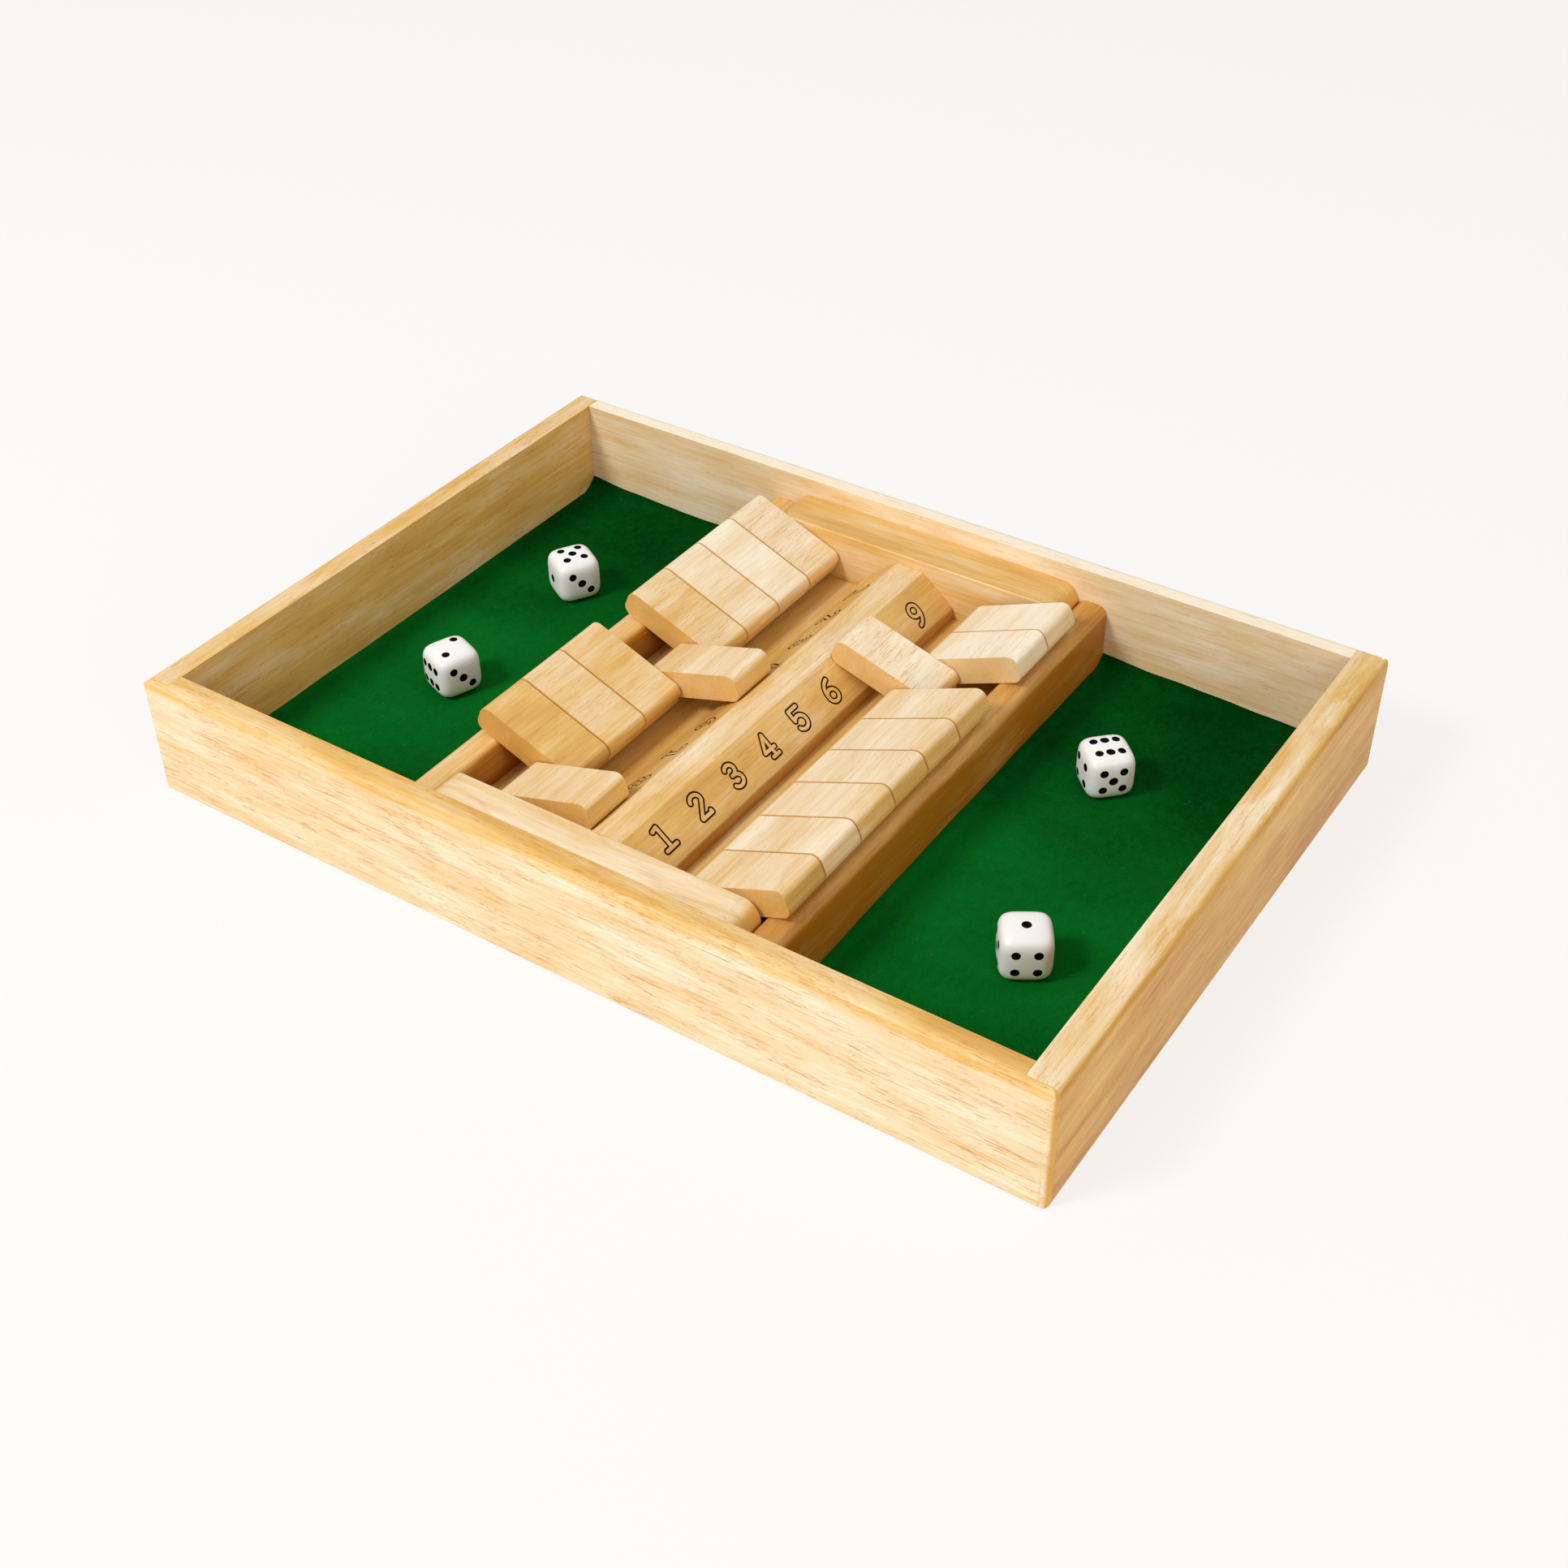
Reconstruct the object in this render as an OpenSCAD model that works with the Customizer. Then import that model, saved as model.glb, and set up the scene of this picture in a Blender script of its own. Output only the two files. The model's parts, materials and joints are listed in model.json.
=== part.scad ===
// Shut the box, the game for two sides: a wooden tray with a felt bay at each end.
// Between the bays a numbered bar runs across, with nine tiles on each side of it
// that swing on a steel rod. X runs along the long boards, Y across, Z up, and the
// origin is on the table under the middle of the tray. All sizes are in millimetres.

/* [Tray boards] */
// Outside length of the tray, along the long boards
tray_l = 338; // [320:1:420]
// Height of the four boards above the table
tray_h = 45; // [43:0.5:70]
// Thickness of the long front and back boards
long_t = 8.75; // [7.5:0.25:14]
// Thickness of the short end boards
end_t = 10.8; // [9:0.2:16]
// Wood left outside the rebate that takes each end of an end board
rebate_lip = 2.9; // [2:0.1:3.8]
// Rounding of the outer top edges
rim_r = 4.5; // [1:0.25:6]
// Rounding of the four upright corners
corner_r = 3; // [1:0.25:8]
// Easing of the bottom edges
foot_r = 1.2; // [0.4:0.1:2]

/* [Base and felt] */
// Height of the underside of the base panel above the table
panel_lift = 3.5; // [2:0.25:6]
// Thickness of the base panel, and width of its groove
panel_t = 4; // [3:0.5:6]
// Depth of the groove that holds the base panel
groove_depth = 4; // [2:0.5:5]
// Thickness of the felt in both bays
felt_t = 1; // [0.5:0.25:2]

/* [Rails and well] */
// Width of the rail between a bay and the well
rail_w = 11.5; // [9:0.25:16]
// Height of the rails above the base panel
rail_h = 25.5; // [23:0.25:29]
// Rounding of both top edges of a rail
rail_r = 4; // [2:0.25:4.5]
// Thickness of the board that floors the well
floor_t = 11.5; // [8:0.25:13]

/* [Rod blocks] */
// Depth of a block, from the long board to the tiles
block_d = 17.5; // [14:0.5:24]
// Height of the blocks above the well floor
block_h = 19.4; // [16:0.2:24]
// Rounding of the two top ends of a block
block_end_r = 7; // [3:0.5:9]
// Easing of the long top edges of a block
block_edge_r = 0.8; // [0.5:0.1:3]

/* [Number bar] */
// Width of the bar at its foot
bar_w = 37.4; // [34:0.2:40]
// Height of the bar above the well floor
bar_h = 15.4; // [13:0.2:16]
// Width of the flat ridge
ridge_w = 10.4; // [6:0.2:12]
// Height of the upright side under each slope
bar_side_h = 4.3; // [3:0.1:6]
// Rounding where a slope meets the ridge
ridge_r = 1.5; // [0.5:0.1:2]
// Rounding where a slope meets the upright side
shoulder_r = 2; // [0.5:0.1:3]

/* [Rods] */
// Diameter of the two steel rods
rod_d = 4; // [3:0.25:5]
// Height of the rod axis above the well floor
rod_lift = 9.3; // [8.7:0.1:11]
// From the side of the bar to the rod axis
rod_to_bar = 18.8; // [17:0.2:20]
// From the rod axis to the inner face of the rail
rod_to_rail = 21.5; // [19:0.25:23]
// How far a rod goes into each block
rod_seat = 12; // [6:0.5:13]

/* [Tiles] */
// Width of a tile, along the rod
tile_w = 19.2; // [16:0.1:24]
// Thickness of a tile
tile_t = 9.8; // [8:0.1:10.4]
// From the rod axis to the free end of a tile
tile_reach = 32; // [29:0.25:33]
// From the rod axis to the tail end of a tile
tile_tail = 7.5; // [6:0.25:8]
// Rounding of the four long edges of a tile
tile_r = 3.3; // [2:0.1:4]
// Gap between neighbouring tiles
tile_gap = 0.6; // [0.4:0.1:1]
// End play of a whole row between the blocks
row_play = 4.8; // [4:0.1:8]
// Place of the right row along its rod, from the middle
right_row_shift = -0.9; // [-1.6:0.1:1.6]
// Place of the left row along its rod, from the middle
left_row_shift = 1.7; // [-1.7:0.1:1.7]
// How much wider a tile's bore is than its rod
bore_play = 0.1; // [0.04:0.02:0.2]
// Gap left where a resting tile meets the rail or the bar
rest_gap = 0.2; // [0.1:0.05:0.4]

/* [Dice] */
// Size of a die
die_s = 16; // [12:0.5:18]
// Rounding of the edges of a die
die_edge_r = 2.9; // [1:0.1:3]
// How far the ball that rounds off the corners of a die stands out beyond its faces
die_ball_over = 3.5; // [3.3:0.05:4]
// From the middle of a face to a pip, along each edge
pip_step = 3.45; // [2.5:0.05:3.8]
// Radius of the cutter that sinks a pip
pip_cutter_r = 2.1; // [1.5:0.1:2.4]
// Depth of a pip
pip_depth = 0.7; // [0.4:0.05:0.8]

/* [Hidden] */
$fn = 96;
tile_count = 9;
tile_numbers = [1 : tile_count];
// The tiles that are folded onto the bar, by number
shut_right = [7];
shut_left = [5, 9];

tile_pitch = tile_w + tile_gap;
row_l = tile_count * tile_pitch - tile_gap + row_play;
inner_w = row_l + 2 * block_d;
inner_l = tray_l - 2 * end_t;
tray_w = inner_w + 2 * long_t;
panel_top = panel_lift + panel_t;
felt_top = panel_top + felt_t;
rail_top = panel_top + rail_h;
floor_top = panel_top + floor_t;
bar_top = floor_top + bar_h;
rod_x = bar_w / 2 + rod_to_bar;
rod_z = floor_top + rod_lift;
rail_x = rod_x + rod_to_rail;
bay_inner_x = rail_x + rail_w;
bay_l = inner_l / 2 - bay_inner_x;
bay_mid = bay_inner_x + bay_l / 2;
// Spare length of a cutter that goes right through, so that no skin is left
spare = 2;

// Open, the flat of a tile lies on the rounded inner edge of its rail
rail_edge = [rod_to_rail + rail_r, rail_top - rail_r - rod_z];
open_angle = atan2(rail_edge[1], rail_edge[0])
    + asin((tile_t / 2 + rail_r + rest_gap) / norm(rail_edge));
// Shut, the rounded free end of a tile lies on the slope of the bar
slope_run = (bar_w - ridge_w) / 2;
slope_angle = atan2(bar_h - bar_side_h, slope_run);
tip = [tile_reach - tile_r, tile_t / 2 - tile_r];
ridge = [rod_x - ridge_w / 2, bar_top - rod_z];
slope_offset = ridge[1] * cos(slope_angle) - ridge[0] * sin(slope_angle);
shut_angle = slope_angle + atan2(tip[1], tip[0])
    + asin((tile_r + rest_gap + slope_offset) / norm(tip));

// One row a die: side, place from the middle of the bay, turn, and tip of the die
dice = [
    [-1, -2.8, 43.6, -30.6, [90, 180, 90]],
    [-1, -1.5, -27.5, -20.8, [90, 0, 90]],
    [1, -11.8, 46.5, -44.9, [0, 90, 90]],
    [1, 7.3, -44.1, -57.5, [0, 270, 0]]
];
die_numbers = [1 : len(dice)];
// The count on each face of a die, and the turn that takes the top to that face
die_faces = [
    [1, [0, 90, 0]], [2, [0, 90, 90]], [3, [0, 0, 0]],
    [4, [180, 0, 0]], [5, [90, 0, 0]], [6, [0, -90, 0]]
];

// ---- Outlines ----

function unit(v) = v / norm(v);

// Half of the angle between the two edges that meet at corner b
function half_corner(a, b, c) = acos(unit(a - b) * unit(c - b)) / 2;

// The two points where the arc at corner b leaves its edges
function arc_ends(a, b, c, r) =
    r == 0 ? [b] : [for (end = [a, c]) b + unit(end - b) * r / tan(half_corner(a, b, c))];

// The middle of the arc at corner b
function arc_middle(a, b, c, r) =
    b + unit(unit(a - b) + unit(c - b)) * r / sin(half_corner(a, b, c));

// A convex outline from corners [x, y, rounding], in order round the shape
module rounded_outline(corners) {
    n = len(corners);
    points = [for (c = corners) [c[0], c[1]]];
    polygon([
        for (i = [0 : n - 1])
            each arc_ends(points[(i + n - 1) % n], points[i], points[(i + 1) % n], corners[i][2])
    ]);
    for (i = [0 : n - 1])
        if (corners[i][2] > 0)
            translate(arc_middle(points[(i + n - 1) % n], points[i], points[(i + 1) % n], corners[i][2]))
                circle(corners[i][2]);
}

// A rectangle from x0 to x1 and y0 to y1, with one rounding below and one above
module rounded_box_outline(x0, x1, y0, y1, low_r, high_r)
    rounded_outline([[x0, y0, low_r], [x1, y0, low_r], [x1, y1, high_r], [x0, y1, high_r]]);

// Stands an XZ outline up and gives it a length along Y, about the middle
module along_y(length) rotate([90, 0, 0]) linear_extrude(length, center = true) children();

// Stands a YZ outline up and gives it a length along X, about the middle
module along_x(length) rotate([90, 0, 90]) linear_extrude(length, center = true) children();

// A box from its lowest to its highest corner
module block(low, high) translate(low) cube(high - low);

// ---- Tray ----

// The whole tray as one block, with its outer edges rounded
module tray_envelope() {
    intersection() {
        linear_extrude(tray_h)
            rounded_box_outline(-tray_l / 2, tray_l / 2, -tray_w / 2, tray_w / 2, corner_r, corner_r);
        along_y(tray_w + spare)
            rounded_box_outline(-tray_l / 2, tray_l / 2, 0, tray_h, foot_r, rim_r);
        along_x(tray_l + spare)
            rounded_box_outline(-tray_w / 2, tray_w / 2, 0, tray_h, foot_r, rim_r);
    }
}

// The room of the base panel, groove depth included
module panel_room() {
    panel = [inner_l / 2 + groove_depth, inner_w / 2 + groove_depth, panel_t];
    block([-panel[0], -panel[1], panel_lift], [panel[0], panel[1], panel_top]);
}

// The room of the end board at +X, which is housed in the rebates of the long boards
module end_board_room() {
    housed_y = tray_w / 2 - rebate_lip;
    block([inner_l / 2, -housed_y, -spare], [tray_l / 2 + spare, housed_y, tray_h + spare]);
}

// The long board at +Y
module long_board() {
    color("burlywood")
        difference() {
            intersection() {
                tray_envelope();
                block([-tray_l, inner_w / 2, -spare], [tray_l, tray_w, tray_h + spare]);
            }
            end_board_room();
            mirror([1, 0, 0]) end_board_room();
            panel_room();
        }
}

// The end board at +X
module end_board() {
    color("burlywood")
        difference() {
            intersection() {
                tray_envelope();
                end_board_room();
            }
            panel_room();
        }
}

module base_panel() {
    color("wheat") panel_room();
}

// The felt of the bay at +X
module felt() {
    color("darkgreen")
        block([bay_inner_x, -inner_w / 2, panel_top], [inner_l / 2, inner_w / 2, felt_top]);
}

// ---- Well ----

// The rail at +X, which stands on the base panel and stops the open tiles
module rail() {
    color("burlywood")
        along_y(inner_w)
            rounded_box_outline(rail_x, bay_inner_x, panel_top, rail_top, 0, rail_r);
}

module trough_floor() {
    color("peru")
        block([-rail_x, -inner_w / 2, panel_top], [rail_x, inner_w / 2, floor_top]);
}

// The block at +Y that takes the ends of both rods
module rod_block() {
    block_top = floor_top + block_h;
    color("burlywood")
        difference() {
            intersection() {
                translate([0, inner_w / 2, 0])
                    along_y(2 * block_d)
                        rounded_box_outline(-rail_x, rail_x, floor_top, block_top, 0, block_end_r);
                along_x(2 * rail_x + spare)
                    rounded_box_outline(row_l / 2, inner_w / 2, floor_top, block_top, 0, block_edge_r);
            }
            rods();
        }
}

module rod() {
    color("silver")
        translate([rod_x, 0, rod_z])
            rotate([90, 0, 0])
                cylinder(h = row_l + 2 * rod_seat, d = rod_d, center = true);
}

module rods() {
    rod();
    mirror([1, 0, 0]) rod();
}

module number_bar() {
    shoulder_z = floor_top + bar_side_h;
    color("wheat")
        along_y(row_l)
            rounded_outline([
                [-bar_w / 2, floor_top, 0],
                [bar_w / 2, floor_top, 0],
                [bar_w / 2, shoulder_z, shoulder_r],
                [ridge_w / 2, bar_top, ridge_r],
                [-ridge_w / 2, bar_top, ridge_r],
                [-bar_w / 2, shoulder_z, shoulder_r]
            ]);
}

// ---- Tiles ----

// A tile of the row at +X, in the middle of its rod and turned up from flat and open
module tile(turn) {
    color("navajowhite")
        translate([rod_x, 0, rod_z])
            rotate([0, -turn, 0])
                along_y(tile_w)
                    difference() {
                        rounded_box_outline(-tile_tail, tile_reach, -tile_t / 2, tile_t / 2, tile_r, tile_r);
                        circle(d = rod_d + bore_play);
                    }
}

// The angle at which tile n rests, when the numbers in shut_list are folded over
function rest_turn(n, shut_list) = len(search(n, shut_list)) > 0 ? 180 - shut_angle : open_angle;

// Steps of tile n from the middle of its row
function tile_place(n) = n - (tile_count + 1) / 2;

// Right tiles count up towards +Y
module tile_right(n)
    translate([0, right_row_shift + tile_place(n) * tile_pitch, 0])
        tile(rest_turn(n, shut_right));

// Left tiles count up towards -Y, so that each side reads its numbers from left to right
module tile_left(n)
    translate([0, left_row_shift - tile_place(n) * tile_pitch, 0])
        mirror([1, 0, 0])
            tile(rest_turn(n, shut_left));

// ---- Dice ----

// Places of n pips on a face, in pip steps
function pips(n) = concat(
    n % 2 == 1 ? [[0, 0]] : [],
    n > 1 ? [[-1, 1], [1, -1]] : [],
    n > 3 ? [[-1, -1], [1, 1]] : [],
    n == 6 ? [[0, 1], [0, -1]] : []
);

module die_outline() {
    half = die_s / 2;
    rounded_box_outline(-half, half, -half, half, die_edge_r, die_edge_r);
}

module die_body() {
    intersection() {
        linear_extrude(die_s, center = true) die_outline();
        along_x(die_s) die_outline();
        along_y(die_s) die_outline();
        sphere(die_s / 2 + die_ball_over);
    }
}

module pip_cutters() {
    cutter_z = die_s / 2 - pip_depth + pip_cutter_r;
    for (face = die_faces)
        rotate(face[1])
            for (place = pips(face[0]))
                translate([place[0] * pip_step, place[1] * pip_step, cutter_z])
                    sphere(pip_cutter_r);
}

// Die n, at rest on the felt
module die(n) {
    row = dice[n - 1];
    color("white")
        translate([row[0] * bay_mid + row[1], row[2], felt_top + die_s / 2])
            rotate([0, 0, row[3]])
                rotate(row[4])
                    difference() {
                        die_body();
                        pip_cutters();
                    }
}

// ---- Nodes ----

mirror([0, 1, 0]) long_board();  // front_board
long_board();  // back_board
mirror([1, 0, 0]) end_board();  // left_board
end_board();  // right_board
base_panel();
mirror([1, 0, 0]) felt();  // felt_left
felt();  // felt_right
mirror([1, 0, 0]) rail();  // rail_left
rail();  // rail_right
trough_floor();
mirror([0, 1, 0]) rod_block();  // front_rod_block
rod_block();  // back_rod_block
number_bar();
mirror([1, 0, 0]) rod();  // rod_left
rod();  // rod_right
for (n = tile_numbers) {
    tile_left(n);
    tile_right(n);
}
for (n = die_numbers)
    die(n);
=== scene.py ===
# %% [markdown]
# # A shut the box game for two players
# The game is a shallow wooden tray. A well runs across its middle, and in the well
# two rows of nine tiles turn on steel rods beside a bar with the numbers 1 to 9.
# Green felt covers the two bays where the dice are thrown.
# This lesson dresses the plain solids of the game: it eases the edges of the wood,
# burns the numbers in, lays the felt, and gives every piece the finish of the real one.

# %% Load the solids
import json
import math

import bmesh
import bpy
import numpy as np
from mathutils import Euler, Matrix, Vector
from mathutils.geometry import delaunay_2d_cdt

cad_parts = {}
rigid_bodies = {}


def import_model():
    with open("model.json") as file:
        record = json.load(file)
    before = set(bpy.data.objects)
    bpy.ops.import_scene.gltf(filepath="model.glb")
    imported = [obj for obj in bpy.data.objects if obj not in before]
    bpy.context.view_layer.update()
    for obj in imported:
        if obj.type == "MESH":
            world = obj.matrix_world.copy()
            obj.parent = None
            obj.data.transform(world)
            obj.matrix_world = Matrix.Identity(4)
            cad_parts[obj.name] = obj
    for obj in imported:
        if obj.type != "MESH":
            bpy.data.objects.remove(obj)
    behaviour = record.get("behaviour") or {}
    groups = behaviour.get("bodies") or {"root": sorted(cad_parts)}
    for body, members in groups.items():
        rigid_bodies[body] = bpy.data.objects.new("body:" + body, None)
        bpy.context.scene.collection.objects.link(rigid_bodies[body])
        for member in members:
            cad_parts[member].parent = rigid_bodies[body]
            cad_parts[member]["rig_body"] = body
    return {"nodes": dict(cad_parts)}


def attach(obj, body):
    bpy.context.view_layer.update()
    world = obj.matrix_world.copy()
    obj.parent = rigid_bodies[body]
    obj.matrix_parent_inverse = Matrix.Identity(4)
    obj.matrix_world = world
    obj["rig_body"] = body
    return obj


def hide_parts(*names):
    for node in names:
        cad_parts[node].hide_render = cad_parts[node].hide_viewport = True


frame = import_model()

MM = 0.001
scene = bpy.context.scene
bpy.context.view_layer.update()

# %% [markdown]
# ## The camera
# The game is seen from above its front right corner. A longer lens would flatten the
# tray and a shorter one would make the near corner huge, so the lens is a normal one.

# %% Place the camera
CAMERA_PLACE = (0.3187317, -0.4634575, 0.4458950)
CAMERA_TURN = (51.33085634, 0.49652756, 33.61110143)
CAMERA_LENS = 48.244

camera = bpy.data.objects.new("camera", bpy.data.cameras.new("camera"))
camera.location = CAMERA_PLACE
camera.rotation_euler = [math.radians(angle) for angle in CAMERA_TURN]
camera.data.lens = CAMERA_LENS
camera.data.sensor_width = 36
camera.data.clip_start = 0.01
scene.collection.objects.link(camera)
scene.camera = camera
scene.view_settings.view_transform = "Standard"
print("camera is", round(Vector(CAMERA_PLACE).length, 3), "m from the middle")


# %% [markdown]
# ## Small helpers for materials
# A material is a chain of nodes. These helpers keep each node on one line, so that the
# recipe of a finish can be read from top to bottom.

# %% Helpers for nodes
def paint(red, green, blue):
    """A colour as it looks on a screen, from 0 to 255, as the linear colour of a shader."""
    linear = [
        c / 12.92 if c <= 0.04045 else ((c + 0.055) / 1.055) ** 2.4
        for c in (red / 255, green / 255, blue / 255)
    ]
    return (*linear, 1.0)


class Recipe:
    """The node tree of one finish, with short calls for the nodes that it is made of."""

    def __init__(self, name, owners=bpy.data.materials):
        self.owner = owners.new(name)
        self.owner.use_nodes = True
        self.tree = self.owner.node_tree
        self.tree.nodes.clear()

    def add(self, kind, inputs=None, **settings):
        node = self.tree.nodes.new(kind)
        for key, value in settings.items():
            setattr(node, key, value)
        for key, value in (inputs or {}).items():
            if isinstance(value, bpy.types.NodeSocket):
                self.tree.links.new(value, node.inputs[key])
            else:
                node.inputs[key].default_value = value
        return node

    def math(self, operation, first, second=0.0, third=0.0, clamp=False):
        inputs = {0: first, 1: second, 2: third}
        node = self.add("ShaderNodeMath", inputs, operation=operation, use_clamp=clamp)
        return node.outputs[0]

    def vector(self, operation, first, second):
        node = self.add("ShaderNodeVectorMath", {0: first, 1: second}, operation=operation)
        return node.outputs[0]

    def parts(self, vector):
        """The X, Y and Z of a vector."""
        return self.add("ShaderNodeSeparateXYZ", {0: vector}).outputs

    def joined(self, x, y, z):
        return self.add("ShaderNodeCombineXYZ", {0: x, 1: y, 2: z}).outputs[0]

    def noise(self, place, detail=2.0, rough=0.5, twist=0.0):
        inputs = {"Vector": place, "Scale": 1.0, "Detail": detail, "Roughness": rough}
        inputs["Distortion"] = twist
        return self.add("ShaderNodeTexNoise", inputs).outputs["Fac"]

    def between(self, value, low, high):
        """0 below low, 1 above high, and a soft step between them."""
        inputs = {"Value": value, "From Min": low, "From Max": high}
        step = self.add("ShaderNodeMapRange", inputs, interpolation_type="SMOOTHSTEP")
        return step.outputs[0]

    def mix(self, share, first, second, kind="MIX"):
        inputs = {0: share, 6: first, 7: second}
        node = self.add("ShaderNodeMix", inputs, data_type="RGBA", blend_type=kind)
        return node.outputs[2]

    def bump(self, height, strength, distance):
        inputs = {"Strength": strength, "Distance": distance, "Height": height}
        return self.add("ShaderNodeBump", inputs).outputs[0]

    def finish(self, **sockets):
        """The surface. The names are those of the shader's sockets, with _ for a space."""
        inputs = {key.replace("_", " "): value for key, value in sockets.items()}
        shader = self.add("ShaderNodeBsdfPrincipled", inputs)
        self.add("ShaderNodeOutputMaterial", {"Surface": shader.outputs[0]})
        return self.owner


print("middle grey of a screen as linear light:", round(paint(128, 128, 128)[0], 3))

# %% [markdown]
# ## The finish of the wood
# The whole game is rubberwood under satin lacquer: pale honey, with clouds of darker
# tone, faint growth lines, and short orange-brown pores that lie along the grain.
# A picture of wood would repeat and would show its seams at the edges. This recipe is
# a solid texture instead: every colour depends on where a point lies inside the board,
# so the grain runs over an edge as it does in real wood, and a sawn end looks sawn.
# Each piece carries what sets it apart: the spot of the tree it was cut from
# (`grain_shift`), how deep its sides and its top are in tone and how many pores it has
# (`tone`), how deep its sawn ends are (`end_tone`), how steep a face may get before the
# tone of the top leaves it (`brink`), and how strong its growth lines are (`figure`).
# The difference between the tone of the sides and of the top is partly the other cut of
# the grain and partly painted shade.

# %% Where a point lies in its plank
PER_METRE = (1000, 1000, 1000)   # the patterns are laid out in mm
SLANT = (0.20, 0.14)  # how far flights of pores lean aside and up for each mm of length
END_FACES = (0.45, 0.85)         # from a long side to a sawn end
BRINK_SOFT = 0.47     # how gently the tone of the top gives way to that of the sides


def own(r, key):
    """What a piece says of itself under that name."""
    return r.add("ShaderNodeAttribute", attribute_type="OBJECT", attribute_name=key).outputs


class Timber:
    """Where a point lies in its plank, in mm, which way the surface faces there, and
    what the piece says of its wood."""

    def __init__(self, r, along):
        coords = r.add("ShaderNodeTexCoord").outputs
        place = r.vector("MULTIPLY", coords["Object"], PER_METRE)
        place = r.parts(r.vector("ADD", place, own(r, "grain_shift")["Vector"]))
        facing = r.parts(coords["Normal"])
        length, side, height = place[along], place["X" if along == "Y" else "Y"], place["Z"]
        self.recipe, self.side, self.height = r, side, height
        self.straight = r.joined(side, length, height)
        self.slant = r.joined(r.math("MULTIPLY_ADD", length, SLANT[0], side), length,
                              r.math("MULTIPLY_ADD", length, SLANT[1], height))
        self.tone = r.parts(own(r, "tone")["Vector"])
        self.figure, self.end_tone = own(r, "figure")["Fac"], own(r, "end_tone")["Fac"]
        brink = own(r, "brink")["Fac"]
        self.end_on = r.math("ABSOLUTE", facing[along])
        self.end = r.between(self.end_on, *END_FACES)
        self.level = r.between(r.math("ABSOLUTE", facing["Z"]), brink,
                               r.math("ADD", brink, BRINK_SOFT))

    def noise(self, stretch, detail, rough=0.5, slanting=False):
        """Noise along the grain. `stretch`: its size across and along in mm, and an
        offset that keeps it apart from the other patterns."""
        across, down, offset = stretch
        base = self.slant if slanting else self.straight
        scaled = self.recipe.vector("MULTIPLY", base, (1 / across, 1 / down, 1 / across))
        place = self.recipe.vector("ADD", scaled, (offset, offset * 0.7, -offset))
        return self.recipe.noise(place, detail, rough)


# %% [markdown]
# ### Growth lines and pores
# A tree grows in rings, and a board cuts them lengthwise, so its growth lines are what
# is left of rings round a heart that lies beside the board. The pores are open vessels
# that the saw laid bare: dashes of three lengths, in flights that cross the board and
# crowd along the growth lines.

# %% Draw the growth lines and the pores
RING_WIDTH = 2.3      # in mm, like the next two
RING_WANDER = 52      # how far the rings wander from a circle
HEART_DEPTH = 38      # how far the heart of the tree lies below the board
RING_WAVES = ((30, 80, 3.1), 1.5)
FLIGHTS = ((4.6, 60, 9.0), 1.5)
CROWDING = 0.09       # how much a dash needs less to show in a flight
DASH_EDGE = 0.065
# stretch of each kind of dash, and how rare it is
LONG_DASH = ((0.40, 9.0, 2.0), 0.715)
SHORT_DASH = ((0.34, 2.8, 17.0), 0.700)
PALE_DASH = ((0.55, 16.0, 11.0), 0.690)


def growth_rings(r, timber):
    """Light and dark growth, from 0 to 1."""
    wander = r.math("MULTIPLY", timber.noise(*RING_WAVES), RING_WANDER)
    aside = r.math("ADD", timber.side, wander)
    below = r.math("ADD", timber.height, HEART_DEPTH)
    squares = [r.math("POWER", way, 2) for way in (aside, below)]
    turn = r.math("DIVIDE", r.math("SQRT", r.math("ADD", *squares)), RING_WIDTH)
    inputs = {"W": turn, "Scale": 1.0, "Detail": 3.0, "Roughness": 0.6}
    return r.add("ShaderNodeTexNoise", inputs, noise_dimensions="1D").outputs["Fac"]


def dashes(r, timber, crowd, stretch, rare):
    """Dashes along the grain, which stand closer where they crowd."""
    low = r.math("MULTIPLY_ADD", crowd, -CROWDING, rare)
    return r.between(timber.noise(stretch, 1.0), low, r.math("ADD", low, DASH_EDGE))


# %% [markdown]
# ### From the plank to the finish
# One number, the depth of the tone, runs from pale through honey to amber, and patterns
# from broad clouds to fine threads make it drift. A sawn end drinks more lacquer, so it
# is darker and warmer. A face takes the tone of the sides as it turns away from up:
# partly the other cut of the grain, partly painted shade.

# %% Mix the colour of the wood
PALE = paint(254, 240, 214)
HONEY = paint(227, 181, 101)
AMBER = paint(175, 106, 22)
PORE = paint(198, 120, 46)
LINE = paint(214, 146, 66)
GAP_SHADE = paint(150, 88, 36)
END_TINT = (0.97, 0.91, 0.77, 1.0)
LINES = (0.60, 0.72)  # which part of the growth shows as a line
FLIGHT_EDGE = (0.36, 0.64)
FIBRE = ((0.26, 5, 5.0), 1.5, 0.6)
LACQUER_WAVES = ((2.4, 9, 21.0), 2.0, 0.6)
# each pattern that makes the tone drift, and its share
DRIFTS = (
    (((16, 120, 4.0), 2.0, 0.5), 0.90),
    (((7.0, 36, 1.0), 3.0, 0.55), 1.10),
    (((1.3, 46, 7.0), 2.0, 0.6), 0.62),
    (((0.42, 24, 13.0), 1.5, 0.6), 0.44),
)


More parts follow.
